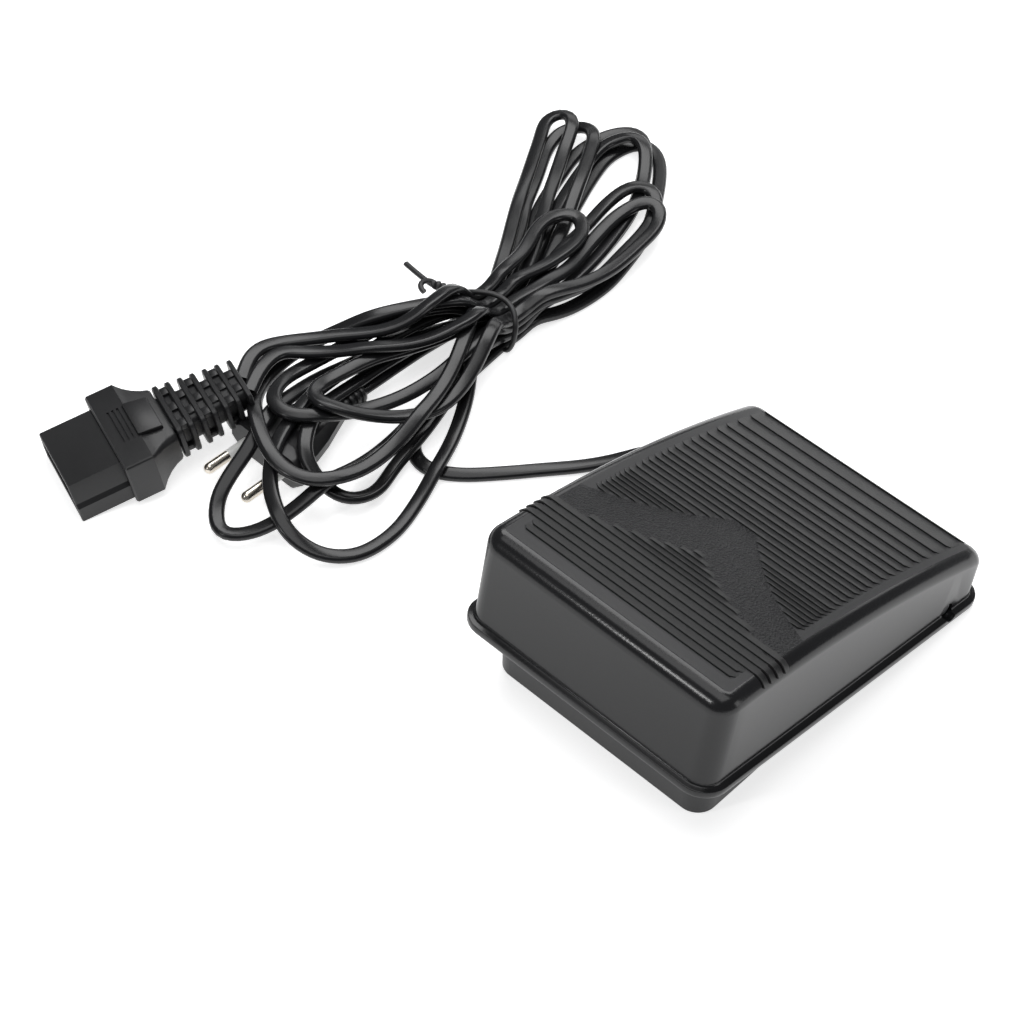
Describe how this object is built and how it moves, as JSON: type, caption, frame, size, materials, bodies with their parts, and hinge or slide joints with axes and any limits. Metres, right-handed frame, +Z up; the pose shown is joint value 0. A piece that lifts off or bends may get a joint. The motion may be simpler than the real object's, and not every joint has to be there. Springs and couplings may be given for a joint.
{
  "type": "sewing machine foot pedal",
  "caption": "Foot pedal for a sewing machine: ribbed hinged cover over a shallow base, speed control inside, flat cords bundled with a tie, machine connector and mains plug.",
  "frame": {"origin": "on the floor under the middle of the pedal, with the cover raised", "axes": "+X across the pedal towards the side where its cord leaves, +Y from the heel hinge to the raised toe end, +Z up"},
  "size_m": [0.2666, 0.2755, 0.0603],
  "materials": {
    "cover_plastic": "black moulded plastic, matt tread with satin walls",
    "base_plastic": "black moulded plastic, satin",
    "rubber": "soft black rubber",
    "cord_pvc": "black flexible PVC sheath, slightly glossy",
    "plug_pvc": "black moulded PVC, satin",
    "sleeve_white": "white insulating sleeve",
    "steel": "zinc-plated steel",
    "nickel": "nickel-plated brass",
    "brass": "plain brass",
    "aluminium": "mill finish",
    "board_green": "green solder mask over glass-fibre board",
    "acetal": "natural white acetal, slightly waxy",
    "capacitor_yellow": "yellow boxed film capacitor",
    "capacitor_blue": "dark blue sleeved can",
    "resistor_tan": "lacquered tan body",
    "copper": "enamelled copper wire",
    "ferrite": "sintered dark grey ferrite",
    "epoxy_black": "black epoxy",
    "wire_brown": "coloured wire insulation"
  },
  "bodies": {
    "base": {"base_tray": "base_plastic", "rubber_feet": "rubber", "hinge_pin": "steel", "hinge_clips": "steel", "return_springs": "steel", "travel_stop": "rubber", "circuit_board": "board_green", "board_screws": "steel", "heat_sink": "aluminium", "triac": "epoxy_black", "triac_screw": "steel", "suppressor_capacitor": "capacitor_yellow", "timing_capacitors": "capacitor_blue", "resistors": "resistor_tan", "choke_core": "ferrite", "choke_winding": "copper", "terminal_block": "board_green", "terminal_screws": "brass", "potentiometer": "epoxy_black", "pot_bracket": "steel", "pot_nut": "steel", "cord_clamp": "base_plastic", "clamp_screws": "steel", "cord_tail": "cord_pvc", "lead_wires": "wire_brown", "cord_grommet": "plug_pvc", "pedal_cord": "cord_pvc", "cord_hank": "cord_pvc", "connector_leads": "cord_pvc", "plug_lead": "cord_pvc", "connector_body": "plug_pvc", "connector_insert": "plug_pvc", "connector_contacts": "brass", "connector_boot": "plug_pvc", "plug_body": "plug_pvc", "plug_pins": "nickel", "plug_sleeves": "sleeve_white", "twist_tie": "cord_pvc"},
    "cover": {"pedal_cover": "cover_plastic", "sector_gear": "acetal", "sector_screws": "steel"},
    "spindle": {"pot_shaft": "steel", "drive_pinion": "acetal"}
  },
  "joints": [
    {"name": "cover_hinge", "type": "hinge", "parent": "base", "child": "cover", "pos_m": [0, -0.052, 0.008], "axis": [-1, 0, 0], "range_deg": [0, 9.6], "stiffness_Nm_per_rad": 3.6, "springref_deg": -9.17, "deforming": ["return_springs"]},
    {"name": "spindle_spin", "type": "hinge", "parent": "base", "child": "spindle", "pos_m": [0, 0.01319, 0.01832], "axis": [-1, 0, 0], "range_deg": [-96, 0]}
  ],
  "couplings": [
    {"joint": "spindle_spin", "follows": "cover_hinge", "ratio": -10}
  ]
}
